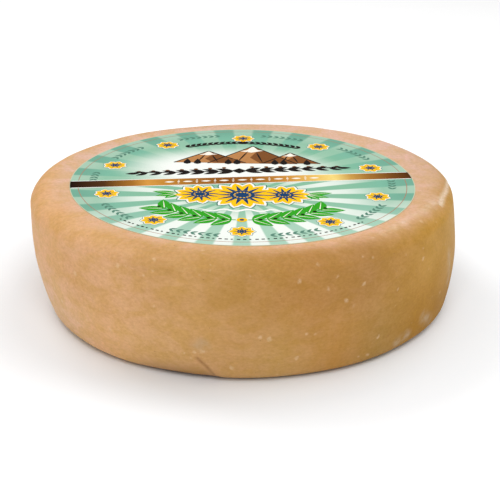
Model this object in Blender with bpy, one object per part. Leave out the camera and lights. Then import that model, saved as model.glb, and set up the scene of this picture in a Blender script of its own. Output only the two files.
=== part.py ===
"""A whole wheel of semi-hard goat's cheese with a round paper label on its upper face.

The wheel is moulded and pressed by hand, so it is not a true disc. Its side bulges, its top has
slid a little over its foot, and seen from above it is slightly oval with one fuller corner.
The label is a thin disc that lies flat on the upper face.

Metres, +Z up. The wheel stands on z = 0 with its bounding box centred on the Z axis.
"""

import math

import bmesh
import bpy
from mathutils import Vector

# Driving sizes of the wheel
WHEEL_RADIUS = 0.140
WHEEL_HEIGHT = 0.080
WIDEST_HEIGHT = 0.0474

# The shoulder is the rounded upper edge and the foot the rounded lower one
SHOULDER_WIDTH = 0.014
SHOULDER_HEIGHT = 0.0098
FOOT_WIDTH = 0.0092
FOOT_HEIGHT = 0.0061

# How far the side's two ends lie inside its widest ring
SHOULDER_TAPER = 0.0008
FOOT_TAPER = 0.0071

# Handmade unevenness: the foot has slid to +X, and the rings are oval with one full corner
FOOT_SLIDE = 0.0049
OVAL_SWELL = 0.0034
OVAL_DIRECTION = math.radians(45)
CORNER_SWELL = 0.0019
CORNER_DIRECTION = math.radians(41)

# The paper label. A gap keeps the two solids from sharing a surface
LABEL_RADIUS = 0.113
LABEL_THICKNESS = 0.0003
LABEL_GAP = 0.0003
LABEL_SHIFT = Vector((-0.0009, -0.0019, 0.0))

# Fineness of the solids
TURN_STEPS = 96
EDGE_STEPS = 8
SIDE_STEPS = 10
FACE_RINGS = 3
LABEL_SIDES = 128

# How far the handles of a rounded edge reach towards its corner, for a near-round curve
HANDLE_SHARE = 0.5523

# Looks: base colour, roughness and metallic value
RIND_LOOK = ((0.62, 0.37, 0.16, 1.0), 0.55, 0.0)
PAPER_LOOK = ((0.42, 0.68, 0.55, 1.0), 0.40, 0.0)


def clear_scene():
    """Removes every object of the startup scene."""
    for thing in list(bpy.data.objects):
        bpy.data.objects.remove(thing, do_unlink=True)


def finish_material(name, look):
    """A Principled material with the given colour, roughness and metallic value."""
    colour, roughness, metallic = look
    material = bpy.data.materials.new(name)
    material.use_nodes = True
    shader = material.node_tree.nodes["Principled BSDF"]
    shader.inputs["Base Color"].default_value = colour
    shader.inputs["Roughness"].default_value = roughness
    shader.inputs["Metallic"].default_value = metallic
    material.diffuse_color = colour
    return material


def add_object(name, mesh_builder, material):
    """Turns a filled bmesh into a named object with its material."""
    mesh = bpy.data.meshes.new(name)
    mesh_builder.to_mesh(mesh)
    mesh_builder.free()
    mesh.materials.append(material)
    thing = bpy.data.objects.new(name, mesh)
    bpy.context.scene.collection.objects.link(thing)
    return thing


def side_radius(height):
    """Radius of the bulging side: widest at WIDEST_HEIGHT, drawn in towards both ends."""
    if height > WIDEST_HEIGHT:
        reach = WHEEL_HEIGHT - SHOULDER_HEIGHT - WIDEST_HEIGHT
        taper = SHOULDER_TAPER
    else:
        reach = WIDEST_HEIGHT - FOOT_HEIGHT
        taper = FOOT_TAPER
    share = (height - WIDEST_HEIGHT) / reach
    return WHEEL_RADIUS - taper * share * share


def rounded_edge(start, corner, end):
    """Points of a curve that leaves start and reaches end along their lines to the corner."""
    near_start = start.lerp(corner, HANDLE_SHARE)
    near_end = end.lerp(corner, HANDLE_SHARE)
    points = []
    for step in range(EDGE_STEPS + 1):
        share = step / EDGE_STEPS
        rest = 1 - share
        point = start * rest**3 + near_start * 3 * rest**2 * share
        point += near_end * 3 * rest * share**2 + end * share**3
        points.append(point)
    return points


def side_corner(end_height, face_height, taper):
    """Where the side's line at end_height, carried on, meets the face at face_height."""
    steepness = 2 * taper / (end_height - WIDEST_HEIGHT)
    radius = side_radius(end_height) - steepness * (face_height - end_height)
    return Vector((radius, face_height))


def wheel_profile():
    """(radius, height) points from the middle of the upper face, down the side, to under the foot."""
    side_top = WHEEL_HEIGHT - SHOULDER_HEIGHT
    shoulder_corner = side_corner(side_top, WHEEL_HEIGHT, SHOULDER_TAPER)
    foot_corner = side_corner(FOOT_HEIGHT, 0, FOOT_TAPER)
    face_edge = shoulder_corner - Vector((SHOULDER_WIDTH, 0))
    base_edge = foot_corner - Vector((FOOT_WIDTH, 0))
    face = [Vector((face_edge.x * ring / FACE_RINGS, WHEEL_HEIGHT)) for ring in range(FACE_RINGS)]
    side = []
    for step in range(1, SIDE_STEPS):
        height = side_top + (FOOT_HEIGHT - side_top) * step / SIDE_STEPS
        side.append(Vector((side_radius(height), height)))
    side_start = Vector((side_radius(side_top), side_top))
    side_end = Vector((side_radius(FOOT_HEIGHT), FOOT_HEIGHT))
    shoulder = rounded_edge(face_edge, shoulder_corner, side_start)
    foot = rounded_edge(side_end, foot_corner, base_edge)
    return face + shoulder + side + foot + [Vector((0, 0))]


def settled(point):
    """Moves a point of the true wheel to where it lies on the uneven one."""
    depth = 1 - point.z / WHEEL_HEIGHT
    angle = math.atan2(point.y, point.x)
    swell = OVAL_SWELL * math.cos(2 * (angle - OVAL_DIRECTION))
    swell += CORNER_SWELL * math.cos(3 * (angle - CORNER_DIRECTION)) * (1 - depth)
    stretch = 1 + swell / WHEEL_RADIUS
    return Vector((point.x * stretch + FOOT_SLIDE * depth, point.y * stretch, point.z))


def middle_of(points):
    """Middle, in plan, of the box round some points."""
    across = [point.x for point in points]
    along = [point.y for point in points]
    return Vector(((min(across) + max(across)) / 2, (min(along) + max(along)) / 2, 0))


def spin_wheel():
    """The turned profile as a closed bmesh, still a true disc."""
    builder = bmesh.new()
    outline = [builder.verts.new((point.x, 0, point.y)) for point in wheel_profile()]
    edges = [builder.edges.new(pair) for pair in zip(outline, outline[1:])]
    bmesh.ops.spin(
        builder,
        geom=outline + edges,
        cent=(0, 0, 0),
        axis=(0, 0, 1),
        angle=2 * math.pi,
        steps=TURN_STEPS,
        use_merge=True,
    )
    bmesh.ops.remove_doubles(builder, verts=builder.verts, dist=1e-6)
    bmesh.ops.recalc_face_normals(builder, faces=builder.faces)
    return builder


def make_wheel():
    """The cheese, in one piece with its rind. Returns the object and how far it was recentred."""
    builder = spin_wheel()
    for vertex in builder.verts:
        vertex.co = settled(vertex.co)
    middle = middle_of([vertex.co for vertex in builder.verts])
    bmesh.ops.translate(builder, verts=builder.verts, vec=-middle)
    wheel = add_object("cheese_wheel", builder, finish_material("rind", RIND_LOOK))
    wheel.data.shade_smooth()
    return wheel, middle


def make_label(middle):
    """The paper disc, lying on the upper face just above its surface."""
    builder = bmesh.new()
    bmesh.ops.create_cone(
        builder,
        cap_ends=True,
        segments=LABEL_SIDES,
        radius1=LABEL_RADIUS,
        radius2=LABEL_RADIUS,
        depth=LABEL_THICKNESS,
    )
    label = add_object("paper_label", builder, finish_material("label_paper", PAPER_LOOK))
    rise = WHEEL_HEIGHT + LABEL_GAP + LABEL_THICKNESS / 2
    label.location = LABEL_SHIFT - middle + Vector((0, 0, rise))
    return label


def main():
    """Builds the wheel and its label."""
    clear_scene()
    wheel, middle = make_wheel()
    label = make_label(middle)
    print("wheel recentred by", [round(value, 5) for value in middle])
    print(wheel.name, len(wheel.data.polygons), "faces;", label.name, len(label.data.polygons))


main()
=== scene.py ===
# %% [markdown]
# # A wheel of goat's cheese with a paper label
#
# The object is a pressed wheel of semi-hard goat's cheese, 28 cm across and 8 cm high, with a
# printed paper disc on its upper face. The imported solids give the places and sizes. This lesson
# makes the finely modelled wheel, its label and the label's print, and gives each its finish.

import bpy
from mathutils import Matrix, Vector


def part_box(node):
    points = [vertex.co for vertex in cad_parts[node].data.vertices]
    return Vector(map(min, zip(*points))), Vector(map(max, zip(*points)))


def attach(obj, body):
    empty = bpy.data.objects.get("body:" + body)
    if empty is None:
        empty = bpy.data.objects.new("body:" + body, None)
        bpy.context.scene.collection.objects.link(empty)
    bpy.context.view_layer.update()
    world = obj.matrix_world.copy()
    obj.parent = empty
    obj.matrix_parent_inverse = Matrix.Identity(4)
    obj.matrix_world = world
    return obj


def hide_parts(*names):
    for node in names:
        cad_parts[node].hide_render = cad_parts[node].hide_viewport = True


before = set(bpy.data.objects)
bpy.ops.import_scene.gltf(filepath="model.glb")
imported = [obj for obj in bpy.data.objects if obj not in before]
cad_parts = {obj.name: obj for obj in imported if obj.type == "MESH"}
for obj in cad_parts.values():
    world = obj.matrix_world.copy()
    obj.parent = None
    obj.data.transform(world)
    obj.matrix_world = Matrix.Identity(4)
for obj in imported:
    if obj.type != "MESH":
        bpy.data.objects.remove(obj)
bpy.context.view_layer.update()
print("packed nodes:", sorted(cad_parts))

# %% [markdown]
# ## Sizes
#
# A wheel comes out of a round hoop, so its shape is a turned profile. Pressing and turning by
# hand then make it uneven: the side bulges, the top slides a little over the foot, and the ring
# becomes slightly oval with one fuller corner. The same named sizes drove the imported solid.

# %% Sizes of the wheel
import math

import bmesh
import bpy
from mathutils import Matrix, Vector, noise

MM = 0.001
WHEEL_RADIUS = 140 * MM
WHEEL_HEIGHT = 80 * MM
WIDEST_HEIGHT = 47.4 * MM

# The shoulder is the rounded upper edge and the foot the rounded lower one
SHOULDER_WIDTH = 14 * MM
SHOULDER_HEIGHT = 9.8 * MM
FOOT_WIDTH = 9.2 * MM
FOOT_HEIGHT = 6.1 * MM

# How far the side's two ends lie inside its widest ring
SHOULDER_TAPER = 0.8 * MM
FOOT_TAPER = 7.1 * MM

# Handmade unevenness: the foot has slid, and the rings are oval with one full corner
FOOT_SLIDE = 4.9 * MM
OVAL_SWELL = 3.4 * MM
OVAL_DIRECTION = math.radians(45)
CORNER_SWELL = 1.9 * MM
CORNER_DIRECTION = math.radians(41)

# How far the label lies off the wheel's middle
LABEL_SHIFT = Vector((-0.9 * MM, -1.9 * MM, 0))

label_low, label_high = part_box("paper_label")
label_middle = (label_low + label_high) / 2
label_radius = (label_high.x - label_low.x) / 2
wheel_middle = LABEL_SHIFT - Vector((label_middle.x, label_middle.y, 0))
print("label radius", round(label_radius / MM, 2), "mm; recentred by", wheel_middle / MM)

# %% [markdown]
# ## The wheel's profile
#
# Half of a cut through the wheel is one line: out along the upper face, round the shoulder, down
# the bulging side, round the foot and back under. The shoulder and foot are cubic curves that
# leave the side along its own slope, so no kink shows.

# %% The profile's points
# How far a rounded edge's handles reach towards its corner, for a near-round curve
HANDLE_SHARE = 0.5523

# Steps along each stretch. The rings get finer from a little inside the label's edge
FACE_STEPS = 8
RIM_STEPS = 16
SHOULDER_STEPS = 16
SIDE_STEPS = 50
FOOT_STEPS = 12
BASE_STEPS = 6
FINE_MARGIN = 6 * MM


def side_radius(height):
    """Radius of the bulging side at a height."""
    if height > WIDEST_HEIGHT:
        reach, taper = WHEEL_HEIGHT - SHOULDER_HEIGHT - WIDEST_HEIGHT, SHOULDER_TAPER
    else:
        reach, taper = WIDEST_HEIGHT - FOOT_HEIGHT, FOOT_TAPER
    share = (height - WIDEST_HEIGHT) / reach
    return WHEEL_RADIUS - taper * share * share


def side_corner(end_height, face_height, taper):
    """Where the side's line, carried on from end_height, meets the face at face_height."""
    steepness = 2 * taper / (end_height - WIDEST_HEIGHT)
    return Vector((side_radius(end_height) - steepness * (face_height - end_height), face_height))


def rounded_edge(start, corner, end, steps):
    """Points of a curve that leaves start and reaches end along their lines to the corner."""
    near_start, near_end = start.lerp(corner, HANDLE_SHARE), end.lerp(corner, HANDLE_SHARE)
    points = []
    for step in range(steps + 1):
        share = step / steps
        rest = 1 - share
        point = start * rest**3 + near_start * 3 * rest**2 * share
        points.append(point + near_end * 3 * rest * share**2 + end * share**3)
    return points


def straight(start, end, steps):
    """Points from start up to, but without, end."""
    return [start.lerp(end, step / steps) for step in range(steps)]


side_top = WHEEL_HEIGHT - SHOULDER_HEIGHT
shoulder_corner = side_corner(side_top, WHEEL_HEIGHT, SHOULDER_TAPER)
foot_corner = side_corner(FOOT_HEIGHT, 0, FOOT_TAPER)
face_edge = shoulder_corner - Vector((SHOULDER_WIDTH, 0))
base_edge = foot_corner - Vector((FOOT_WIDTH, 0))
axis_top, axis_foot = Vector((0, WHEEL_HEIGHT)), Vector((0, 0))
label_ring = Vector((label_radius - FINE_MARGIN, WHEEL_HEIGHT))
side_start = Vector((side_radius(side_top), side_top))
side_end = Vector((side_radius(FOOT_HEIGHT), FOOT_HEIGHT))

profile = straight(axis_top, label_ring, FACE_STEPS) + straight(label_ring, face_edge, RIM_STEPS)
profile += rounded_edge(face_edge, shoulder_corner, side_start, SHOULDER_STEPS)
for step in range(1, SIDE_STEPS):
    height = side_top + (FOOT_HEIGHT - side_top) * step / SIDE_STEPS
    profile.append(Vector((side_radius(height), height)))
profile += rounded_edge(side_end, foot_corner, base_edge, FOOT_STEPS)
profile += straight(base_edge, axis_foot, BASE_STEPS)[1:] + [axis_foot]
print(len(profile), "points on the profile")

# %% [markdown]
# ## Turning the profile
#
# A spin turns the line round the axis, as a lathe would. Each point first gets its run, which is
# its distance in millimetres from the middle of the upper face along the surface. The spin
# copies it to every ring, and the rind's colours use it to follow the shoulder.

# %% Spin the profile into a wheel
TURN_STEPS = 700


def spun(points, steps, layer_name=None):
    """A closed bmesh: the (radius, height) points turned fully round the Z axis."""
    builder = bmesh.new()
    layer = builder.verts.layers.float.new(layer_name) if layer_name else None
    line = [builder.verts.new((point.x, 0, point.y)) for point in points]
    if layer:
        travelled = 0.0
        for index, vertex in enumerate(line):
            if index:
                travelled += (points[index] - points[index - 1]).length
            vertex[layer] = travelled / MM
    edges = [builder.edges.new(pair) for pair in zip(line, line[1:])]
    bmesh.ops.spin(
        builder,
        geom=line + edges,
        cent=(0, 0, 0),
        axis=(0, 0, 1),
        angle=2 * math.pi,
        steps=steps,
        use_merge=True,
    )
    bmesh.ops.remove_doubles(builder, verts=builder.verts, dist=1e-6)
    bmesh.ops.recalc_face_normals(builder, faces=builder.faces)
    return builder


wheel = spun(profile, TURN_STEPS, "run")
run = wheel.verts.layers.float["run"]
print(len(wheel.verts), "points; run reaches", round(max(v[run] for v in wheel.verts), 1), "mm")

# %% [markdown]
# ## Handmade unevenness
#
# The true disc is moved to the uneven shape: the oval, its full corner and the slid foot. Then
# comes the relief of a rind that was pressed in cloth and turned on boards: broad soft dents
# and a fine unrest. The relief fades out under the label and on the base, so that the paper
# lies flat and the wheel stands flat.

# %% Settle the wheel and press its relief
# Each layer of relief: its size and height in mm, how much it is flattened, and its own place
RELIEF_LAYERS = (
    (52, 0.55, 1, (0, 0, 0)),
    (17, 0.14, 1.5, (7, 3, 1)),
    (6.5, 0.036, 1, (2, 9, 4)),
    (3.3, 0.022, 1, (5, 1, 8)),
)

# The runs, in mm, over which the relief sets in past the label and dies out under the foot
RELIEF_SETS_IN = (115, 123)
RELIEF_DIES_OUT = (210, 218)


def settled(point):
    """Moves a point of the true wheel to where it lies on the uneven one."""
    depth = 1 - point.z / WHEEL_HEIGHT
    angle = math.atan2(point.y, point.x)
    swell = OVAL_SWELL * math.cos(2 * (angle - OVAL_DIRECTION))
    swell += CORNER_SWELL * math.cos(3 * (angle - CORNER_DIRECTION)) * (1 - depth)
    stretch = 1 + swell / WHEEL_RADIUS
    moved = Vector((point.x * stretch + FOOT_SLIDE * depth, point.y * stretch, point.z))
    return moved - wheel_middle


def eased(low, high, value):
    """0 below low, 1 above high, with a soft start and end."""
    share = min(max((value - low) / (high - low), 0), 1)
    return share * share * (3 - 2 * share)


def relief(place, travelled):
    """How far the rind stands proud at a place, in metres."""
    free = eased(*RELIEF_SETS_IN, travelled) * (1 - eased(*RELIEF_DIES_OUT, travelled))
    total = 0
    for size, height, flattened, shift in RELIEF_LAYERS:
        spot = Vector((place.x, place.y, place.z * flattened)) / (size * MM) + Vector(shift)
        total += noise.noise(spot) * height
    return total * free * MM


for vertex in wheel.verts:
    vertex.co = settled(vertex.co)
wheel.normal_update()
pushes = [vertex.normal * relief(vertex.co, vertex[run]) for vertex in wheel.verts]
for vertex, push in zip(wheel.verts, pushes):
    vertex.co += push
print("relief up to", round(max(push.length for push in pushes) / MM, 2), "mm")

# %% [markdown]
# ## Marks of handling
#
# Three places stand out: a thin scar where the right shoulder was knocked in turning, a crease
# where the cloth folded under the foot, and grey bruises, most of them low on the right. Each
# lies round a line, given by angle and run, and leaves its strength in an attribute so that the
# colour can follow the shape. Left of the crease the foot is also hollowed, and the crease ends
# the hollow with a sharp step. The crease and the hollow are coloured darker as painted shade,
# and the scar's pale colour is a scuff with a painted highlight streak along it.

# %% Where the marks lie


def on_wheel(angle, travelled):
    """A point of the settled wheel, by angle in degrees and run in millimetres."""
    left = travelled * MM
    for start, end in zip(profile, profile[1:]):
        step = (end - start).length
        if left <= step:
            break
        left -= step
    spot = start.lerp(end, min(left / step, 1))
    turn = math.radians(angle)
    return settled(Vector((spot.x * math.cos(turn), spot.x * math.sin(turn), spot.y)))


def nearness(place, line, width):
    """1 on a line of points, falling softly to 0 at width away."""
    best = width
    for start, end in zip(line, line[1:]):
        along = end - start
        share = min(max((place - start).dot(along) / along.length_squared, 0), 1)
        best = min(best, (place - start - along * share).length)
    return 1 - eased(0, width, best)


def line_on_wheel(*spots):
    """A line of points on the wheel, from their angles and runs."""
    return [on_wheel(*spot) for spot in spots]


scar = line_on_wheel((8, 140), (356.5, 135), (349.5, 133), (344, 134))
crease = line_on_wheel((257.6, 197), (259.5, 203), (260.8, 209), (261.5, 213))
bruises = [
    line_on_wheel((325, 196), (330, 204)),
    line_on_wheel((318, 203.5), (314, 206)),
    line_on_wheel((340, 166), (341, 184)),
    line_on_wheel((258, 185), (259.5, 187)),
]
frayed = line_on_wheel((312, 127), (325, 126), (336, 128), (347, 131))
print("crease from", [round(value / MM) for value in crease[0]], "mm down to the foot")

# %% Press and colour the marks
# How far each mark reaches to the sides of its line, in mm
SCAR_REACH = 3
CREASE_REACH = 2.2
BRUISE_REACH = 7
FRAYED_REACH = 5

# How far each mark is pressed in, or stands proud, in mm
SCAR_DEPTH = 0.45
CREASE_DEPTH = 0.3
CRUST_HEIGHT = 0.2

# The hollow sets in over a span of angles and ends at the crease, which leans as it rises
HOLLOW_DEPTH = 2.4 * MM
HOLLOW_HEIGHT = 17 * MM
HOLLOW_SETS_IN = (236, 253)
CREASE_ANGLE = 261.7
CREASE_LEAN = 220
HOLLOW_INNER_RADIUS = 60 * MM
HOLLOW_FULL_RADIUS = 115 * MM

# No mark lies outside these runs, in mm
MARKS_START = 118
MARKS_END = 219


def hollow(vertex):
    """How far the foot is pressed in at a vertex left of the crease, in metres."""
    low = min(max(1 - vertex.co.z / HOLLOW_HEIGHT, 0), 1)
    angle = math.degrees(math.atan2(vertex.co.y, vertex.co.x)) % 360
    fold = CREASE_ANGLE - CREASE_LEAN * vertex.co.z
    share = eased(*HOLLOW_SETS_IN, angle) * (1 - eased(fold - 0.6, fold + 0.6 + 4 * low, angle))
    outer = eased(HOLLOW_INNER_RADIUS, HOLLOW_FULL_RADIUS, vertex.co.xy.length)
    return HOLLOW_DEPTH * low * low * share * outer


for name in ("scuffs_and_highlight", "crease_shade", "bruised"):
    wheel.verts.layers.float.new(name)
layers = wheel.verts.layers.float
run, scuffs_and_highlight, crease_shade, bruised = (layers[n] for n in ("run", "scuffs_and_highlight", "crease_shade", "bruised"))
wheel.normal_update()
pushes = []
for vertex in wheel.verts:
    inwards = -vertex.co.normalized() * hollow(vertex)
    push = Vector((inwards.x, inwards.y, 0))
    if MARKS_START < vertex[run] < MARKS_END:
        patchy = 0.6 + 0.8 * noise.noise(vertex.co / (4.5 * MM))
        at_scar = nearness(vertex.co, scar, SCAR_REACH * MM)
        at_crease = nearness(vertex.co, crease, CREASE_REACH * MM)
        at_crust = nearness(vertex.co, frayed, (FRAYED_REACH - 1) * MM)
        # The scar's pale mark is a scuff and a painted highlight streak; the frayed edge is a scuff
        # only
        vertex[scuffs_and_highlight] = 1.15 * at_scar
        vertex[scuffs_and_highlight] += 0.5 * patchy * nearness(vertex.co, frayed, FRAYED_REACH * MM)
        # Painted shade: the crease line and the hollow left of it are coloured darker
        vertex[crease_shade] = max(at_crease, hollow(vertex) / (1.5 * MM))
        vertex[bruised] = patchy * max(nearness(vertex.co, line, BRUISE_REACH * MM) for line in bruises)
        push -= vertex.normal * SCAR_DEPTH * MM * at_scar
        push -= vertex.normal * CREASE_DEPTH * MM * at_crease
        push += vertex.normal * CRUST_HEIGHT * MM * (vertex[bruised] + patchy * at_crust)
    pushes.append(push)
for vertex, push in zip(wheel.verts, pushes):
    vertex.co += push
print("deepest mark", round(max(p.length for p in pushes) / MM, 2), "mm")

# %% [markdown]
# ## Colours and nodes
#
# Colours are written as the hex values that a painter would pick on a screen, and one function
# turns them to the linear light that a shader works in. One more function adds a node, sets it
# and links what feeds it, so that a material reads as a list of steps. Inputs that share a name
# go by number: 1 and 2 of a Map Range are the span that goes in and 3 and 4 the one that comes
# out, and 6 and 7 of a Mix are its two colours. Three settings that come back have names.

# %% Helpers for materials
COLOURS = {"data_type": "RGBA"}
TINT = {"data_type": "RGBA", "blend_type": "MULTIPLY"}
SOFT = {"interpolation_type": "SMOOTHSTEP"}


def linear(code):
    """An sRGB hex colour as linear red, green, blue and a full alpha."""
    parts = [int(code[place : place + 2], 16) / 255 for place in (1, 3, 5)]
    return tuple(p / 12.92 if p <= 0.04045 else ((p + 0.055) / 1.055) ** 2.4 for p in parts) + (1.0,)


def add_node(tree, kind, feeds=None, stops=(), **settings):
    """Adds a node with its settings, and (position, sRGB code) stops where it has a ramp.

    A feed is a value for an input, or the socket that is linked to it.
    """
    node = tree.nodes.new("ShaderNode" + kind)
    for name, value in settings.items():
        setattr(node, name, value)
    for _ in stops[2:]:
        node.color_ramp.elements.new(0.5)
    for index, (position, code) in enumerate(stops):
        node.color_ramp.elements[index].position = position
        node.color_ramp.elements[index].color = linear(code)
    for socket, value in (feeds or {}).items():
        if isinstance(value, bpy.types.NodeSocket):
            tree.links.new(value, node.inputs[socket])
        else:
            node.inputs[socket].default_value = value
    return node


def new_material(name):
    """A Principled material: (material, its node tree, its shader, the place on the object)."""
    material = bpy.data.materials.new(name)
    material.use_nodes = True
    tree = material.node_tree
    place = add_node(tree, "TexCoord").outputs["Object"]
    return material, tree, tree.nodes["Principled BSDF"], place


def vary_finish(tree, shader, pattern, tone, light, gloss):
    """Lets a pattern vary a tone's light and the roughness, each between two values."""
    span = {0: pattern, 1: 0.3, 2: 0.7}
    lights = add_node(tree, "MapRange", {**span, 3: light[0], 4: light[1]}).outputs[0]
    varied = add_node(tree, "Mix", {0: 1.0, 6: tone, 7: lights}, **TINT).outputs[2]
    tree.links.new(varied, shader.inputs["Base Color"])
    dullness = add_node(tree, "MapRange", {**span, 3: gloss[0], 4: gloss[1]}).outputs[0]
    tree.links.new(dullness, shader.inputs["Roughness"])


print("tan in linear light:", [round(value, 3) for value in linear("#CFA06A")])

# %% [markdown]
# ## The rind
#
# A natural rind that was washed and brushed while it ripened: dry to faintly waxy, pinkish
# beige on the face that lay on the board, golden on the shoulder and browner down the side.
# The eye reads it by clouds of rosy and ochre a few centimetres wide, a millimetre grain that
# lies a little along the hoop, pale flecks of dried curd and pin-prick pores.

# %% Rind material: patterns
MOTTLE_SIZE = 48 * MM
CLOUD_SIZE = 15 * MM
GRAIN_SIZE = 2.4 * MM

rind, tree, shader, place = new_material("washed_brushed_goat_cheese_rind")
axes = add_node(tree, "SeparateXYZ", {0: place})
travelled = add_node(tree, "Attribute", attribute_name="run").outputs["Fac"]
stretched = add_node(tree, "Mapping", {"Vector": place, "Scale": (1, 1, 1.5)}).outputs[0]
mottle = add_node(
    tree, "TexNoise", {"Vector": stretched, "Scale": 1 / MOTTLE_SIZE, "Detail": 4, "Roughness": 0.55}
).outputs["Fac"]
cloud = add_node(
    tree,
    "TexNoise",
    {"Vector": stretched, "Scale": 1 / CLOUD_SIZE, "Detail": 3, "Roughness": 0.55, "Distortion": 0.4},
).outputs["Fac"]
grain = add_node(
    tree, "TexNoise", {"Vector": stretched, "Scale": 1 / GRAIN_SIZE, "Detail": 4, "Roughness": 0.7}
).outputs["Fac"]
print("rind patterns:", len(tree.nodes), "nodes")

# %% Rind material: where the face turns into the side
# Runs in mm: where the side's tone sets in, where the shoulder ends, and where the low tone sets in
SIDE_SETS_IN = (126.0, 146.0)
OFF_SHOULDER = (144.0, 158.0)
LOW_SETS_IN = (160.0, 195.0)

to_front = add_node(tree, "MapRange", {0: axes.outputs["Y"], 1: 0.05, 2: -0.13}).outputs[0]
to_right = add_node(tree, "MapRange", {0: axes.outputs["X"], 1: -0.15, 2: 0.15}).outputs[0]

# The border wanders by some millimetres: with the mottle, to the front and to the right
edge_wander = add_node(tree, "Math", {0: mottle, 1: 14.0, 2: travelled}, operation="MULTIPLY_ADD")
edge_wander = add_node(
    tree, "Math", {0: to_front, 1: 10.0, 2: edge_wander.outputs[0]}, operation="MULTIPLY_ADD"
)
rosy_right = add_node(tree, "MapRange", {0: to_right, 1: 0.43, 2: 0.8, 4: -9.0}).outputs[0]
far_right = add_node(tree, "MapRange", {0: to_right, 1: 0.81, 2: 0.9}).outputs[0]
edge_wander = add_node(tree, "Math", {0: edge_wander.outputs[0], 1: rosy_right})
edge_wander = add_node(
    tree, "Math", {0: far_right, 1: 3.0, 2: edge_wander.outputs[0]}, operation="MULTIPLY_ADD"
)
on_side = add_node(
    tree, "MapRange", {0: edge_wander.outputs[0], 1: SIDE_SETS_IN[0], 2: SIDE_SETS_IN[1]}, **SOFT
).outputs[0]
down_side = add_node(tree, "MapRange", {0: travelled, 1: LOW_SETS_IN[0], 2: LOW_SETS_IN[1]}).outputs[0]
print("the side's tone sets in over runs of", SIDE_SETS_IN, "mm")

# %% Rind material: tones of the face and the side
# Pinkish beige at the back of the face, warmer at its front, with painted shade on the far right
face_tone = add_node(
    tree, "Mix", {0: to_front, 6: linear("#CFA78A"), 7: linear("#D2A37A")}, **COLOURS
).outputs[2]
face_tone = add_node(
    tree, "Mix", {0: far_right, 6: face_tone, 7: (0.93, 0.93, 0.92, 1)}, **TINT
).outputs[2]

# The side goes from peach on the left to ochre brown on the right, high up and low down: partly
# the rind's own colour, partly painted light on the left and painted shade on the right
upper_side = add_node(
    tree,
    "ValToRGB",
    {0: to_right},
    stops=(
        (0.07, "#DAA670"), (0.18, "#D5A472"), (0.28, "#CD9E6B"), (0.38, "#C1945A"),
        (0.5, "#B28547"), (0.62, "#AE7E3F"), (0.74, "#A87B40"), (0.88, "#B28431"),
    ),
).outputs[0]
lower_side = add_node(
    tree,
    "ValToRGB",
    {0: to_right},
    stops=(
        (0.1, "#E0B489"), (0.22, "#DCAB74"), (0.34, "#CB9F67"), (0.47, "#C2955D"),
        (0.57, "#C2985C"), (0.68, "#BA8846"), (0.77, "#A77F3C"), (0.85, "#A2710A"),
    ),
).outputs[0]
side_tone = add_node(tree, "Mix", {0: down_side, 6: upper_side, 7: lower_side}, **COLOURS).outputs[2]
tone = add_node(tree, "Mix", {0: on_side, 6: face_tone, 7: side_tone}, **COLOURS).outputs[2]

# A golden tinge on the left half of the shoulder
off_shoulder = add_node(
    tree, "MapRange", {0: edge_wander.outputs[0], 1: OFF_SHOULDER[0], 2: OFF_SHOULDER[1]}, **SOFT
).outputs[0]
golden = add_node(tree, "Math", {0: on_side, 1: off_shoulder}, operation="SUBTRACT").outputs[0]
leftness = add_node(tree, "MapRange", {0: to_right, 1: 0.35, 2: 0.5, 3: 1.0, 4: 0.0}).outputs[0]
golden = add_node(tree, "Math", {0: golden, 1: leftness}, operation="MULTIPLY").outputs[0]
tone = add_node(tree, "Mix", {0: golden, 6: tone, 7: (0.92, 0.895, 0.77, 1)}, **TINT).outputs[2]
print("rind tones:", len(tree.nodes), "nodes so far")

# %% Rind material: clouds, mottling and grain
# The clouds tint the tone to ochre and rosy, the mottle browns the side, the grain varies its light
cloud_share = add_node(tree, "MapRange", {0: cloud, 1: 0.36, 2: 0.64}, **SOFT).outputs[0]
clouds = add_node(
    tree, "Mix", {0: cloud_share, 6: (0.96, 0.955, 0.82, 1), 7: (1.04, 1.045, 1.18, 1)}, **COLOURS
).outputs[2]
tone = add_node(tree, "Mix", {0: 1.0, 6: tone, 7: clouds}, **TINT).outputs[2]
mottle_share = add_node(tree, "MapRange", {0: mottle, 1: 0.36, 2: 0.66, 4: 0.34}, **SOFT).outputs[0]
mottle_share = add_node(tree, "Math", {0: mottle_share, 1: on_side}, operation="MULTIPLY").outputs[0]
tone = add_node(tree, "Mix", {0: mottle_share, 6: tone, 7: (0.82, 0.77, 0.66, 1.0)}, **TINT).outputs[2]
grain_share = add_node(tree, "MapRange", {0: grain, 1: 0.25, 2: 0.75}).outputs[0]
grains = add_node(
    tree, "Mix", {0: grain_share, 6: (0.88, 0.86, 0.76, 1), 7: (1.12, 1.14, 1.24, 1)}, **COLOURS
).outputs[2]
tone = add_node(tree, "Mix", {0: 1.0, 6: tone, 7: grains}, **TINT).outputs[2]
print("rind grain:", len(tree.nodes), "nodes so far")

# %% Rind material: flecks, pores and marks
FLECK_CELL = 5.5 * MM
FLECK_REACH = 2.2 * MM
PORE_CELL = 6 * MM
PORE_REACH = 0.6 * MM
FLECK_STRENGTH = 0.62
PORE_STRENGTH = 0.5

# Noise shifts the places where the flecks are looked up, which makes their edges ragged
wobble = add_node(tree, "TexNoise", {"Vector": place, "Scale": 1 / (4 * MM), "Detail": 4})
wobbled = add_node(
    tree,
    "VectorMath",
    {0: wobble.outputs["Color"], 1: (0.004, 0.004, 0.004), 2: place},
    operation="MULTIPLY_ADD",
).outputs[0]


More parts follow.
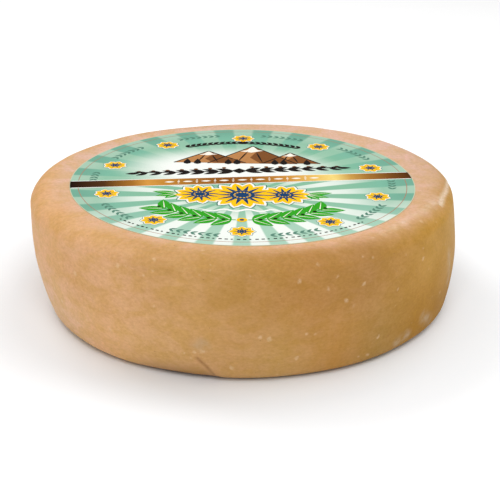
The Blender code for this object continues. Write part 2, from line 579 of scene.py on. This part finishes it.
def spots(vector, size, channel, rarity, reach, soft):
    """Scattered round spots, one in each cell, and none where its random number is below rarity.

    The channel picks which of a cell's random numbers counts.
    """
    cells = add_node(tree, "TexVoronoi", {"Vector": vector, "Scale": 1 / size})
    chance = add_node(tree, "SeparateColor", {0: cells.outputs["Color"]}).outputs[channel]
    radius = add_node(tree, "MapRange", {0: chance, 1: rarity, 2: 1.0, 3: -soft, 4: reach / size})
    inside = add_node(
        tree, "Math", {0: radius.outputs[0], 1: cells.outputs["Distance"]}, operation="SUBTRACT"
    ).outputs[0]
    return add_node(tree, "MapRange", {0: inside, 1: 0.0, 2: soft}, **SOFT).outputs[0]


fleck = spots(wobbled, FLECK_CELL, channel=0, rarity=0.35, reach=FLECK_REACH, soft=0.3)
fleck = add_node(tree, "Math", {0: fleck, 1: grain}, operation="MULTIPLY").outputs[0]
fleck = add_node(tree, "Math", {0: fleck, 1: FLECK_STRENGTH}, operation="MULTIPLY").outputs[0]
tone = add_node(tree, "Mix", {0: fleck, 6: tone, 7: linear("#E6CFAE")}, **COLOURS).outputs[2]
pore = spots(place, PORE_CELL, channel=1, rarity=0.3, reach=PORE_REACH, soft=0.04)
pore = add_node(tree, "Math", {0: pore, 1: PORE_STRENGTH}, operation="MULTIPLY").outputs[0]
tone = add_node(tree, "Mix", {0: pore, 6: tone, 7: linear("#8A5E38")}, **COLOURS).outputs[2]
# The crease's dark colour is painted shade in the crease and the hollow; the pale scuff colour is also
# a painted highlight streak on the scar; the grey bruises are the rind's own
for name, code, strength in (
    ("scuffs_and_highlight", "#E8D6C0", 0.5),
    ("crease_shade", "#875A2B", 0.6),
    ("bruised", "#B49C7C", 0.65),
):
    mark = add_node(tree, "Attribute", attribute_name=name).outputs["Fac"]
    mark = add_node(tree, "Math", {0: mark, 1: grain}, operation="MULTIPLY").outputs[0]
    share = add_node(tree, "Math", {0: mark, 1: 2 * strength}, operation="MULTIPLY", use_clamp=True)
    tone = add_node(tree, "Mix", {0: share.outputs[0], 6: tone, 7: linear(code)}, **COLOURS).outputs[2]
tree.links.new(tone, shader.inputs["Base Color"])
print("rind colour:", len(tree.nodes), "nodes")

# %% Rind material: sheen and relief
# A little light gets a few millimetres into the rind, and the wax gives it a dull sheen
shader.inputs["IOR"].default_value = 1.45
shader.inputs["Specular IOR Level"].default_value = 0.3
shader.inputs["Subsurface Weight"].default_value = 0.18
shader.inputs["Subsurface Radius"].default_value = (1.0, 0.55, 0.25)
shader.inputs["Subsurface Scale"].default_value = 3 * MM
roughness = add_node(tree, "MapRange", {0: mottle, 1: 0.3, 2: 0.7, 3: 0.56, 4: 0.7}).outputs[0]
tree.links.new(roughness, shader.inputs["Roughness"])
relief_height = add_node(tree, "Math", {0: pore, 1: -1.2, 2: grain}, operation="MULTIPLY_ADD")
bump = add_node(
    tree, "Bump", {"Height": relief_height.outputs[0], "Strength": 0.4, "Distance": 0.2 * MM}
)
tree.links.new(bump.outputs[0], shader.inputs["Normal"])
print("rind material:", len(tree.nodes), "nodes")

# %% [markdown]
# ## From a mesh to a piece
#
# A finished mesh becomes an object at the origin. It rides on the part's one body, takes the slot
# of its finish and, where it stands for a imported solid, replaces that. The wheel goes first.

# %% Put the wheel in the scene


def new_object(name, builder, material):
    """Turns a bmesh into an object with its material."""
    mesh = bpy.data.meshes.new(name)
    builder.to_mesh(mesh)
    builder.free()
    mesh.materials.append(material)
    thing = bpy.data.objects.new(name, mesh)
    bpy.context.scene.collection.objects.link(thing)
    return thing


def place_piece(name, builder, material, node=None):
    """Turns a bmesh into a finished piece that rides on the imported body."""
    piece = new_object(name, builder, material)
    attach(piece, "root")
    if node:
        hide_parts(node)
    piece.data.calc_loop_triangles()
    print(name, len(piece.data.loop_triangles), "triangles")
    return piece


wheel_piece = place_piece("cheese_wheel_rind", wheel, rind, "cheese_wheel")
wheel_piece.data.shade_smooth()

# %% [markdown]
# ## The paper label
#
# Coated card, 0.28 mm thick, laid on the damp rind. It is a disc with many rings so that it can
# cockle by a few hundredths of a millimetre, which is enough to break up its sheen. The print
# then follows the same height.

# %% Label disc
PAPER_THICKNESS = 0.28 * MM
PAPER_RISE = 0.3
COCKLE_SIZE = 34 * MM
COCKLE_HEIGHT = 0.07
DISC_RINGS = 24
DISC_STEPS = 240
SHARP_EDGE = math.radians(40)


def paper_height(x, y):
    """Height of the label's printed face."""
    cockle = noise.noise(Vector((x, y, 0)) / COCKLE_SIZE + Vector((4, 4, 4))) * COCKLE_HEIGHT
    return WHEEL_HEIGHT + (PAPER_RISE + cockle) * MM


disc_top, rim_top = Vector((0, 0)), Vector((label_radius, 0))
disc_foot, rim_foot = Vector((0, -PAPER_THICKNESS)), Vector((label_radius, -PAPER_THICKNESS))
disc_line = straight(disc_top, rim_top, DISC_RINGS) + [rim_top]
disc_line += straight(rim_foot, disc_foot, DISC_RINGS) + [disc_foot]
label = spun(disc_line, DISC_STEPS)
for vertex in label.verts:
    vertex.co.x += label_middle.x
    vertex.co.y += label_middle.y
    vertex.co.z += paper_height(vertex.co.x, vertex.co.y)
for edge in label.edges:
    edge.smooth = edge.calc_face_angle(0) < SHARP_EDGE
print("label's lowest point", round(min(v.co.z for v in label.verts) / MM, 2), "mm")

# %% [markdown]
# ## The sunburst print
#
# A sunburst is a common background for a label: two dozen rays of two mint greens. A band parts
# it in two, so the rays above start from the label's middle and those below from a spot nearer
# to the lower edge. The angle gives the rays, and the distance gives their fading: dark and pale
# at the rim, even mint further in, and white light on every second ray halfway out.

# %% Label paper material: the rays
# The band's tilt in degrees, and in mm its height over the label's middle and its width
BAND_TILT = 6.7
BAND_RISE = 1.1
BAND_WIDTH = 12.1

# The number of dark rays, and in mm the height of the spot that the lower ones start from
RAYS = 24
LOWER_START = -28

paper, tree, shader, place = new_material("coated_label_paper_offset_printed")
local = add_node(
    tree, "VectorMath", {0: place, 1: (label_middle.x, label_middle.y, 0)}, operation="SUBTRACT"
).outputs[0]
local = add_node(
    tree, "VectorMath", {0: local, 1: (1 / label_radius, 1 / label_radius, 0)}, operation="MULTIPLY"
).outputs[0]
level = add_node(
    tree,
    "Mapping",
    {"Vector": local, "Rotation": (0, 0, math.radians(BAND_TILT))},
    vector_type="TEXTURE",
).outputs[0]
level = add_node(tree, "SeparateXYZ", {0: level})
below = add_node(
    tree, "Math", {0: level.outputs["Y"], 1: BAND_RISE * MM / label_radius}, operation="LESS_THAN"
).outputs[0]
burst = add_node(
    tree,
    "VectorMath",
    {0: below, 1: (0, -LOWER_START * MM / label_radius, 0), 2: local},
    operation="MULTIPLY_ADD",
).outputs[0]
axes = add_node(tree, "SeparateXYZ", {0: burst})
turn = add_node(
    tree, "Math", {0: axes.outputs["Y"], 1: axes.outputs["X"]}, operation="ARCTAN2"
).outputs[0]
phase = add_node(tree, "Math", {0: below, 1: math.pi}, operation="MULTIPLY").outputs[0]
wave = add_node(tree, "Math", {0: turn, 1: float(RAYS), 2: phase}, operation="MULTIPLY_ADD").outputs[0]
wave = add_node(tree, "Math", {0: wave}, operation="COSINE").outputs[0]
pale_ray = add_node(tree, "MapRange", {0: wave, 1: -0.3, 2: 0.3, 3: 0.04}, **SOFT).outputs[0]
print(RAYS, "dark rays;", len(tree.nodes), "nodes")

# %% Label paper material: how the rays fade
distance = add_node(tree, "VectorMath", {0: local}, operation="LENGTH").outputs["Value"]
reach = add_node(tree, "VectorMath", {0: burst}, operation="LENGTH").outputs["Value"]
lowness = add_node(tree, "MapRange", {0: level.outputs["Y"], 1: -0.3, 2: -0.82}, **SOFT).outputs[0]
mints = []
for inner, outer, rim, low in (
    ("#7AB091", "#74AE96", "#69A18B", "#9BC2AC"),
    ("#90BBA0", "#8AB79D", "#9DBEA8", "#DCE4DB"),
):
    stops = ((0.6, inner), (0.8, outer), (0.92, rim))
    fading = add_node(tree, "ValToRGB", {0: distance}, stops=stops).outputs[0]
    fading = add_node(tree, "Mix", {0: lowness, 6: fading, 7: linear(low)}, **COLOURS).outputs[2]
    mints.append(fading)
mint = add_node(tree, "Mix", {0: pale_ray, 6: mints[0], 7: mints[1]}, **COLOURS).outputs[2]
light_above = add_node(
    tree,
    "ValToRGB",
    {0: reach},
    stops=((0.0, "#D0D0D0"), (0.42, "#A8A8A8"), (0.62, "#3C3C3C"), (0.8, "#000000")),
).outputs[0]
light_below = add_node(
    tree,
    "ValToRGB",
    {0: reach},
    stops=((0.22, "#404040"), (0.36, "#D0D0D0"), (0.5, "#E8E8E8"), (0.6, "#D8D8D8"), (0.82, "#000000")),
).outputs[0]
light = add_node(tree, "Mix", {0: below, 6: light_above, 7: light_below}, **COLOURS).outputs[2]
light = add_node(tree, "Math", {0: light, 1: pale_ray}, operation="MULTIPLY").outputs[0]
print("rays with their light:", len(tree.nodes), "nodes")

# %% Label paper material: the patch of light and the paper itself
patch = add_node(
    tree, "Mapping", {"Vector": local, "Location": (0.1, -0.47, 0), "Scale": (1.35, 2.2, 1)}
).outputs[0]
patch = add_node(tree, "VectorMath", {0: patch}, operation="LENGTH").outputs["Value"]
patch = add_node(tree, "MapRange", {0: patch, 1: 1.0, 2: 0.46}, **SOFT).outputs[0]
above = add_node(tree, "Math", {0: 1.0, 1: below}, operation="SUBTRACT").outputs[0]
patch = add_node(tree, "Math", {0: patch, 1: above}, operation="MULTIPLY").outputs[0]
light = add_node(tree, "Math", {0: light, 1: patch}, operation="MAXIMUM").outputs[0]
colour = add_node(tree, "Mix", {0: light, 6: mint, 7: linear("#EAEDE7")}, **COLOURS).outputs[2]
margin = add_node(tree, "MapRange", {0: distance, 1: 0.995, 2: 0.997}).outputs[0]
colour = add_node(tree, "Mix", {0: margin, 6: colour, 7: linear("#C3C7A9")}, **COLOURS).outputs[2]
fibre = add_node(
    tree, "TexNoise", {"Vector": place, "Scale": 1 / (1.1 * MM), "Detail": 3, "Roughness": 0.6}
).outputs["Fac"]
vary_finish(tree, shader, fibre, colour, light=(0.975, 1.025), gloss=(0.42, 0.52))
shader.inputs["Specular IOR Level"].default_value = 0.04
bump = add_node(tree, "Bump", {"Height": fibre, "Strength": 0.25, "Distance": 0.03 * MM})
tree.links.new(bump.outputs[0], shader.inputs["Normal"])
label_piece = place_piece("paper_label_disc", label, paper, "paper_label")
label_piece.data.shade_smooth()

# %% [markdown]
# ## Drawing the print
#
# The label is printed over the sunburst in ten colours, laid down in eleven thin layers of ink.
# Each layer is one mesh, a few hundredths of a millimetre above the paper, so its edges stay
# sharp at any distance. Nearly every mark is a pen stroke: a short edge, as wide as the nib,
# extruded along a path. A stroke that swells in the middle is a leaf, one that swells near its
# end is a petal, and an even one is a twig or a dash. All of it is drawn in millimetres.

# %% Pen, bead and facet
inks = {}


def pen_stroke(ink, path, widths):
    """Draws a stroke in an ink: path and widths in millimetres from the label's middle."""
    builder = inks.setdefault(ink, bmesh.new())
    edge, trail = None, None
    for index, (spot, width) in enumerate(zip(path, widths)):
        ahead = path[min(index + 1, len(path) - 1)] - path[max(index - 1, 0)]
        across = Vector((-ahead.y, ahead.x)).normalized() * width / 2
        ends = [(spot + across).to_3d(), (spot - across).to_3d()]
        if edge is None:
            trail = [builder.verts.new(end) for end in ends]
            edge = builder.edges.new(trail)
            continue
        grown = bmesh.ops.extrude_edge_only(builder, edges=[edge])["geom"]
        tips = [item for item in grown if isinstance(item, bmesh.types.BMVert)]
        if trail[0] not in {side.other_vert(tips[0]) for side in tips[0].link_edges}:
            tips.reverse()
        for tip, end in zip(tips, ends):
            tip.co = end
        edge, trail = builder.edges.get(tips), tips


def bead(ink, spot, radius, sides=12):
    """A round dot, or a lozenge with four sides."""
    builder = inks.setdefault(ink, bmesh.new())
    where = Matrix.Translation(Vector(spot).to_3d())
    bmesh.ops.create_circle(builder, cap_ends=True, segments=sides, radius=radius, matrix=where)


def facet(ink, *spots):
    """A flat patch with the given corners."""
    builder = inks.setdefault(ink, bmesh.new())
    bmesh.ops.contextual_create(builder, geom=[builder.verts.new((x, y, 0)) for x, y in spots])


def polar(radius, angle):
    """A spot by its distance from the label's middle and its angle in degrees."""
    return Vector((math.cos(math.radians(angle)), math.sin(math.radians(angle)))) * radius


def bent_path(start, heading, length, bend, steps=8):
    """A path that leaves start at a heading in degrees and bends by so many degrees per mm."""
    spot, path = Vector(start), [Vector(start)]
    for _ in range(steps):
        heading += bend * length / steps
        spot = spot + polar(length / steps, heading)
        path.append(spot)
    return path


def swell(count, width, peak=0.5, least=0.12):
    """Widths of a stroke that is widest at peak, from 0 to 1 along it."""
    power = math.log(0.5) / math.log(peak)
    shares = [step / (count - 1) for step in range(count)]
    return [max(width * math.sin(math.pi * share**power), least) for share in shares]


def leaf(ink, foot, heading, length, width, bend=0.0, peak=0.45):
    """A leaf or petal: a short stroke that swells."""
    path = bent_path(foot, heading, length, bend)
    pen_stroke(ink, path, swell(len(path), width, peak))


print("a leaf's widths:", [round(width, 1) for width in swell(9, 5, 0.45)])

# %% [markdown]
# ## Flowers, leaves, peaks and beads
#
# The ornaments are a stock engraver's: three yellow flowers and a leafy garland under the band,
# small flowers evenly round the edge, alpine peaks above, and a laurel branch along the band.
# The flowers under the band and the garland are the same on the left and the right.

# %% Flowers
EDGE_FLOWERS = 10
EDGE_FLOWER_RADIUS = 91


def flower(spot, size, petals, turn=0.0):
    """A flower of yellow petals with a grey-green outline, a white rim and a blue eye.

    Its parts are drawn as shares of its size.
    """
    middle = Vector(spot)
    for index in range(petals):
        heading = turn + 360 * index / petals
        foot = middle + polar(size * 0.12, heading)
        leaf("slate", foot, heading, size * 0.98, size * 5.9 / petals, peak=0.66)
        leaf("white", foot, heading, size * 0.93, size * 5.2 / petals, peak=0.66)
        leaf("yellow", foot, heading, size * 0.84, size * 4.4 / petals, peak=0.62)
        vein = [middle + polar(size * reach, heading) for reach in (0.36, 0.55, 0.74)]
        pen_stroke("blue", vein, [size * 0.13, size * 0.08, size * 0.02])
    bead("white", spot, size * 0.6, 20)
    bead("yellow", spot, size * 0.56, 20)
    bead("blue", spot, size * 0.36, 16)
    for index in range(petals):
        bead("yellow_dots", middle + polar(size * 0.22, turn + 360 * index / petals), size * 0.035, 5)


flower((-27, -27), 17, 12, 8)
flower((27, -27), 17, 12, 8)
flower((0, -28), 23, 14)
for index in range(EDGE_FLOWERS):
    angle = 360 / EDGE_FLOWERS * (index + 0.5)
    flower(polar(EDGE_FLOWER_RADIUS, angle), 8, 8, angle)
print("white ink faces", len(inks["white"].faces))

# %% Garland of leaves
GARLAND_RADIUS = 72


def veined_leaf(ink, foot, heading, length, width):
    """A broad leaf with a pale midrib."""
    leaf(ink, foot, heading, length, width)
    rib = [Vector(foot) + polar(length * share, heading) for share in (0.1, 0.5, 0.85)]
    pen_stroke("snow", rib, [0.7, 0.5, 0.2])


for side in (-1, 1):
    for heading, length in ((200, 15), (168, 17), (228, 12)):
        veined_leaf("green", (side * -41, -26), 90 - side * (90 - heading), length, 6)
    for index in range(6):
        angle = -90 + side * (5 + index * 7.4)
        for lean in (42, -42):
            veined_leaf("green", polar(GARLAND_RADIUS, angle), angle + side * 90 + lean, 16, 8)
        bead("dark", polar(GARLAND_RADIUS, angle + side * 4), 1.3, 8)
    twig = [polar(GARLAND_RADIUS, -90 + side * (3 + step * 1.6)) for step in range(27)]
    pen_stroke("green", twig, [1.0] * len(twig))
bead("yellow", (0, -GARLAND_RADIUS), 3.4)
bead("blue", (0, -GARLAND_RADIUS), 1.6)
print("green ink faces", len(inks["green"].faces))

# %% Peaks
# The snow's lower edge, as shares of its depth: how far out from the summit, and how far down
SNOW_SHARE = 0.3
SNOW_EDGE = ((-1, 1), (-0.45, 0.8), (-0.1, 1.25), (0.4, 0.75), (0.85, 0.85))

# Each peak has its left corner, summit, right corner and the foot of its middle ridge
for left, summit, right, foot in (
    ((-47, 36), (-24, 61), (2, 36), (-20, 36)),
    ((14, 36), (33, 59), (53, 36), (36, 36)),
    ((-24, 35), (7, 73), (37, 35), (12, 35)),
):
    knee = (summit[0] + 2.5, (summit[1] * 2 + foot[1]) / 3)
    elbow = (summit[0] - 2.0, (summit[1] + foot[1] * 2) / 3)
    facet("brown", left, elbow, knee, summit)
    facet("brown", left, foot, elbow)
    facet("umber", summit, knee, elbow, foot, right)
    tall = summit[1] - foot[1]
    slope_left = (summit[0] - left[0]) / tall
    slope_right = (right[0] - summit[0]) / tall
    snow = tall * SNOW_SHARE
    edge = []
    for out, down in SNOW_EDGE:
        slope = slope_left if out < 0 else slope_right
        edge.append((summit[0] + slope * snow * out, summit[1] - snow * down))
    facet("snow", summit, *edge)
    for share, start in ((0.0, 0.0), (0.32, 0.3), (0.62, 0.36), (1.0, 0.0)):
        end = Vector(left).lerp(Vector(right), share)
        path = [Vector(summit).lerp(end, start + (1 - start) * step / 6) for step in range(7)]
        pen_stroke("dark", path, [1.1] * 7 if start == 0 else swell(7, 1.2, 0.4))
for place_x in (-38, -31, -10, -4, 22, 28, 44):
    leaf("dark", (place_x, 33), 90, 11, 5, peak=0.3)
print("brown ink faces", len(inks["brown"].faces))

# %% Laurel branch along the band
LAUREL_PAIRS = 7
LAUREL_STEP = 9.6
LAUREL_RISE = 18.5
tilt = Matrix.Rotation(math.radians(BAND_TILT), 2)


def along_band(x, rise):
    """A spot by its distance along the band and its height over the band's middle line."""
    return tilt @ Vector((x, BAND_RISE + rise))


for side in (-1, 1):
    steps = [step * 4.2 for step in range(17)]
    twig = [along_band(side * (3 + out), LAUREL_RISE + 0.0004 * out**2) for out in steps]
    pen_stroke("dark", twig, [1.5] * len(twig))
    outwards = BAND_TILT + (90 - side * 90)
    for index in range(LAUREL_PAIRS):
        foot = along_band(side * (4 + index * LAUREL_STEP), LAUREL_RISE)
        size = 1 - 0.05 * index
        for lean in (30, -30):
            leaf("dark", foot, outwards + lean, 12.5 * size, 4.7 * size, bend=-0.03 * lean)
        bead("umber", along_band(side * (9.5 + index * LAUREL_STEP), 25.5 - 0.6 * index), 1.5, 10)
    leaf("dark", along_band(side * LAUREL_PAIRS * LAUREL_STEP, LAUREL_RISE + 0.1), outwards, 9, 3.8)
bead("dark", along_band(0, LAUREL_RISE), 5.2, 4)
bead("snow", along_band(0, LAUREL_RISE), 2.6, 4)
print("laurel leaves", 4 * LAUREL_PAIRS + 2)

# %% Arch of leaves, sprigs and dashes
ARCH_RADIUS = 81
SPRIG_RADIUS = 98
DASH_RADIUS = 103.5

for index in range(21):
    angle = 60 + index * 3
    heading = angle + (90 if index < 10 else -90)
    if index == 10:
        bead("dark", polar(ARCH_RADIUS, angle), 3, 4)
        continue
    for lean in (32, -32):
        leaf("dark", polar(ARCH_RADIUS, angle), heading + lean, 5.8, 2.6)
for index in range(EDGE_FLOWERS):
    for step in range(-3, 4):
        angle = 360 / EDGE_FLOWERS * index + 2.7 * step
        if abs((angle - BAND_TILT + 90) % 180 - 90) < 5:
            continue
        for lean in (34, -34):
            leaf("slate", polar(SPRIG_RADIUS, angle), angle + 90 + lean, 4.8, 1.9)
for index in range(46):
    angle = -135 + index * 2
    dash = [polar(DASH_RADIUS, angle - 0.55), polar(DASH_RADIUS, angle + (0.55 if index % 3 else 0.1))]
    pen_stroke("dark", dash, [1.1, 1.1])
ripple = [Vector((x, -55.5 + 1.6 * math.sin(x * 0.42))) for x in range(-38, 39)]
pen_stroke("white", ripple, swell(len(ripple), 2.4, 0.5, 0.6))
print("slate ink faces", len(inks["slate"].faces))

# %% Lozenges and edge lines on the band
band_reach = math.sqrt((label_radius / MM - 1) ** 2 - (BAND_WIDTH / 2 + BAND_RISE) ** 2)
line = [along_band(band_reach * (step / 10 - 1), 0) for step in range(21)]
pen_stroke("white", line, [BAND_WIDTH + 1.8] * len(line))
for index in range(17):
    spot = along_band(6 * (index - 8), 0)
    if index % 2:
        bead("snow", spot, 0.9, 8)
        bead("snow", spot + Vector((0, 2.6)), 0.6, 6)
        bead("snow", spot - Vector((0, 2.6)), 0.6, 6)
        continue
    leaf("snow", spot - polar(3.3, BAND_TILT), BAND_TILT, 6.6, 2.7, peak=0.5)
print("the band reaches", round(band_reach, 1), "mm to each side")

# %% Hairline ring
HAIRLINE_INNER = 107.3
HAIRLINE_OUTER = 107.75
ring = inks.setdefault("russet", bmesh.new())
rim_edge = [ring.verts.new((radius, 0, 0)) for radius in (HAIRLINE_INNER, HAIRLINE_OUTER)]
bmesh.ops.spin(
    ring,
    geom=rim_edge + [ring.edges.new(rim_edge)],
    cent=(0, 0, 0),
    axis=(0, 0, 1),
    angle=2 * math.pi,
    steps=240,
    use_merge=True,
)
bmesh.ops.remove_doubles(ring, verts=ring.verts, dist=1e-3)
print("hairline faces", len(ring.faces))

# %% [markdown]
# ## Lifting the inks onto the paper
#
# The flat drawings are moved to the label, raised to the paper's height plus a layer's height,
# and given a thickness of two hundredths of a millimetre, as heavy screen ink has.

# %% Ink layers
INK_COLOURS = {
    "russet": "#A9745F",
    "slate": "#55806F",
    "white": "#EDEDE8",
    "green": "#2E9C1C",
    "brown": "#B27B48",
    "umber": "#78481F",
    "snow": "#F0E9DC",
    "dark": "#150B08",
    "yellow": "#F4BE04",
    "blue": "#0F3A66",
    "yellow_dots": "#F4BE04",
}
LAYER = 0.02 * MM

# Each ink starts this share of a layer above the one before
LAYER_STEP = 0.6


def lift_onto_paper(builder, layer):
    """Gives a flat drawing its place on the label, its height and its thickness."""
    faces = list(builder.faces)
    bmesh.ops.recalc_face_normals(builder, faces=faces)
    for face in faces:
        if face.normal.z < 0:
            face.normal_flip()
    grown = bmesh.ops.extrude_face_region(builder, geom=faces, use_keep_orig=True)["geom"]
    tops = {item for item in grown if isinstance(item, bmesh.types.BMVert)}
    for vertex in builder.verts:
        x = label_middle.x + vertex.co.x * MM
        y = label_middle.y + vertex.co.y * MM
        height = paper_height(x, y) + (layer + (1 if vertex in tops else 0)) * LAYER
        vertex.co = (x, y, height)
    bmesh.ops.recalc_face_normals(builder, faces=builder.faces)


def ink_material(name, code):
    """Screen-printed ink: the colour dries a little uneven, and it shines more than the paper."""
    material, tree, shader, place = new_material(name + "_screen_ink")
    film = add_node(tree, "TexNoise", {"Vector": place, "Scale": 1 / (1.6 * MM), "Detail": 3})
    film = film.outputs["Fac"]
    vary_finish(tree, shader, film, linear(code), light=(0.93, 1.07), gloss=(0.36, 0.48))
    shader.inputs["Specular IOR Level"].default_value = 0.02
    return material


for layer, (name, code) in enumerate(INK_COLOURS.items()):
    drawing = inks.pop(name)
    lift_onto_paper(drawing, 1 + layer * LAYER_STEP)
    place_piece("print_" + name, drawing, ink_material(name, code))
print("inks left undrawn:", sorted(inks))

# %% [markdown]
# ## The gold band
#
# A band of metallic ink crosses the label just above its middle and rises a little to the
# right. It is printed as a gradient, from a burnt brown at the ends over bronze to two bright
# gilt patches, and it is part metal, so it also catches the softbox.

# %% Band
BAND_LAYER = 3
BAND_MARGIN = 0.3
band = bmesh.new()
bmesh.ops.create_grid(band, x_segments=80, y_segments=4, size=1.0)
for vertex in band.verts:
    v = vertex.co.y * BAND_WIDTH / 2 + BAND_RISE
    u = vertex.co.x * (math.sqrt((label_radius / MM - BAND_MARGIN) ** 2 - v * v))
    vertex.co = (tilt @ Vector((u, v))).to_3d()
lift_onto_paper(band, BAND_LAYER)

foil, tree, shader, place = new_material("gilt_bronze_gradient_foil")
local = add_node(
    tree,
    "Mapping",
    {
        "Vector": place,
        "Location": (label_middle.x, label_middle.y, 0),
        "Rotation": (0, 0, math.radians(BAND_TILT)),
    },
    vector_type="TEXTURE",
).outputs[0]
axes = add_node(tree, "SeparateXYZ", {0: local})
along = add_node(tree, "MapRange", {0: axes.outputs["X"], 1: -label_radius, 2: label_radius}).outputs[0]
gradient = add_node(
    tree,
    "ValToRGB",
    {0: along},
    stops=(
        (0.0, "#180A04"), (0.1, "#4E2E14"), (0.18, "#A06A26"), (0.225, "#CF9240"),
        (0.27, "#C08434"), (0.35, "#A26A28"), (0.46, "#88501A"), (0.54, "#9A6226"),
        (0.63, "#C68A3C"), (0.71, "#E2B75E"), (0.77, "#EED27C"), (0.82, "#C39548"),
        (0.87, "#A06E2E"), (0.94, "#74451A"), (1.0, "#4C2A10"),
    ),
).outputs[0]
brushed = add_node(tree, "Mapping", {"Vector": local, "Scale": (1, 6, 1)}).outputs[0]
sheen = add_node(tree, "TexNoise", {"Vector": brushed, "Scale": 1 / (3 * MM), "Detail": 3})
sheen = sheen.outputs["Fac"]
vary_finish(tree, shader, sheen, gradient, light=(0.9, 1.1), gloss=(0.3, 0.42))
shader.inputs["Metallic"].default_value = 0.1
shader.inputs["Specular IOR Level"].default_value = 0.0
place_piece("gold_band", band, foil)

# %% [markdown]
# ## Studio
#
# A pale floor without an edge in view, an even sky and four softboxes. One at the front and one
# high at the back give most of the light, one at the left back draws the floor's soft shadow to
# the right, and a weak one at the right keeps that side from turning dull. The floor's paint is
# a shade darker and cooler near the wheel and fades to pure white away from it, as a retouched
# studio picture does: painted shade round the wheel, and a cool tint against the warm light
# bounced off the rind.

# %% Floor and light
FLOOR_RADIUS = 8.0
# Where the floor's painted shade starts to fade, and where it is gone
FADE_STARTS = 155 * MM
FADE_ENDS = 240 * MM
SOFTBOX_SIZE = 0.9

floor_disc = bmesh.new()
bmesh.ops.create_circle(floor_disc, cap_ends=True, segments=96, radius=FLOOR_RADIUS)
floor_paint, tree, shader, place = new_material("matt_white_paint")
distance = add_node(tree, "VectorMath", {0: place}, operation="LENGTH").outputs["Value"]
# Painted shade: near the wheel the floor is coloured a cooler, darker white, which fades out to pure
# white
painted_shade_fade = add_node(tree, "MapRange", {0: distance, 1: FADE_STARTS, 2: FADE_ENDS}).outputs[0]
paint = add_node(
    tree, "Mix", {0: painted_shade_fade, 6: linear("#F0F4F8"), 7: linear("#FFFFFF")}, **COLOURS
).outputs[2]
tree.links.new(paint, shader.inputs["Base Color"])
shader.inputs["Roughness"].default_value = 0.9
floor = new_object("studio_floor", floor_disc, floor_paint)

world = bpy.data.worlds.new("studio_sky")
bpy.context.scene.world = world
world.use_nodes = True
sky = world.node_tree.nodes["Background"]
sky.inputs["Color"].default_value = (1, 1, 1, 1)
sky.inputs["Strength"].default_value = 0.5


def softbox(name, spot, watts):
    """A square area light at spot that faces the foot of the wheel."""
    lamp = bpy.data.lights.new(name, "AREA")
    lamp.shape = "SQUARE"
    lamp.size = SOFTBOX_SIZE
    lamp.energy = watts
    holder = bpy.data.objects.new(name, lamp)
    bpy.context.scene.collection.objects.link(holder)
    facing = (-Vector(spot)).to_track_quat("-Z", "Y")
    holder.matrix_world = Matrix.Translation(spot) @ facing.to_matrix().to_4x4()


softbox("softbox_front", (0, -1.2, 1.2), 10.9)
softbox("softbox_right", (1.2, 0, 1.2), 5.3)
softbox("softbox_back_left", (-0.85, 0.85, 1.2), 8.2)
softbox("softbox_back_right", (0.45, 0.45, 1.58), 5.1)
bpy.context.scene.view_settings.view_transform = "Standard"

# %% [markdown]
# ## Camera
#
# The camera stands almost 0.9 m away and 22 degrees above the wheel, with a 93 mm lens and a roll
# of two thirds of a degree. The lens is shifted a little, because the wheel sits high in the
# frame. The distance, tilt, roll and lens come from a fit of the wheel's sizes to its outline.

# %% Camera
FRAME_PIXELS = 500
SENSOR_WIDTH = 36
FOCAL_PIXELS = 1292.8
CAMERA_TILT = 0.382
CAMERA_ROLL = 0.0112
CAMERA_DISTANCE = 6.2 * WHEEL_RADIUS
WHEEL_PIXEL = (243.25, 236.26)
lens = bpy.data.cameras.new("camera")
lens.sensor_width = SENSOR_WIDTH
lens.lens = FOCAL_PIXELS / FRAME_PIXELS * SENSOR_WIDTH
lens.shift_x = (FRAME_PIXELS / 2 - WHEEL_PIXEL[0]) / FRAME_PIXELS
lens.shift_y = (WHEEL_PIXEL[1] - FRAME_PIXELS / 2) / FRAME_PIXELS
lens.clip_start, lens.clip_end = 0.01, 50
back = Vector((0, -math.cos(CAMERA_TILT), math.sin(CAMERA_TILT)))
level_up = Vector((0, math.sin(CAMERA_TILT), math.cos(CAMERA_TILT)))
right = math.cos(CAMERA_ROLL) * Vector((1, 0, 0)) + math.sin(CAMERA_ROLL) * level_up
up = math.cos(CAMERA_ROLL) * level_up - math.sin(CAMERA_ROLL) * Vector((1, 0, 0))
aim = Vector((0, 0, WHEEL_HEIGHT / 2)) - wheel_middle
camera = bpy.data.objects.new("camera", lens)
bpy.context.scene.collection.objects.link(camera)
turned = Matrix((right, up, back)).transposed().to_4x4()
camera.matrix_world = Matrix.Translation(aim + back * CAMERA_DISTANCE) @ turned
bpy.context.scene.camera = camera
print("camera at", [round(value, 4) for value in camera.matrix_world.translation])
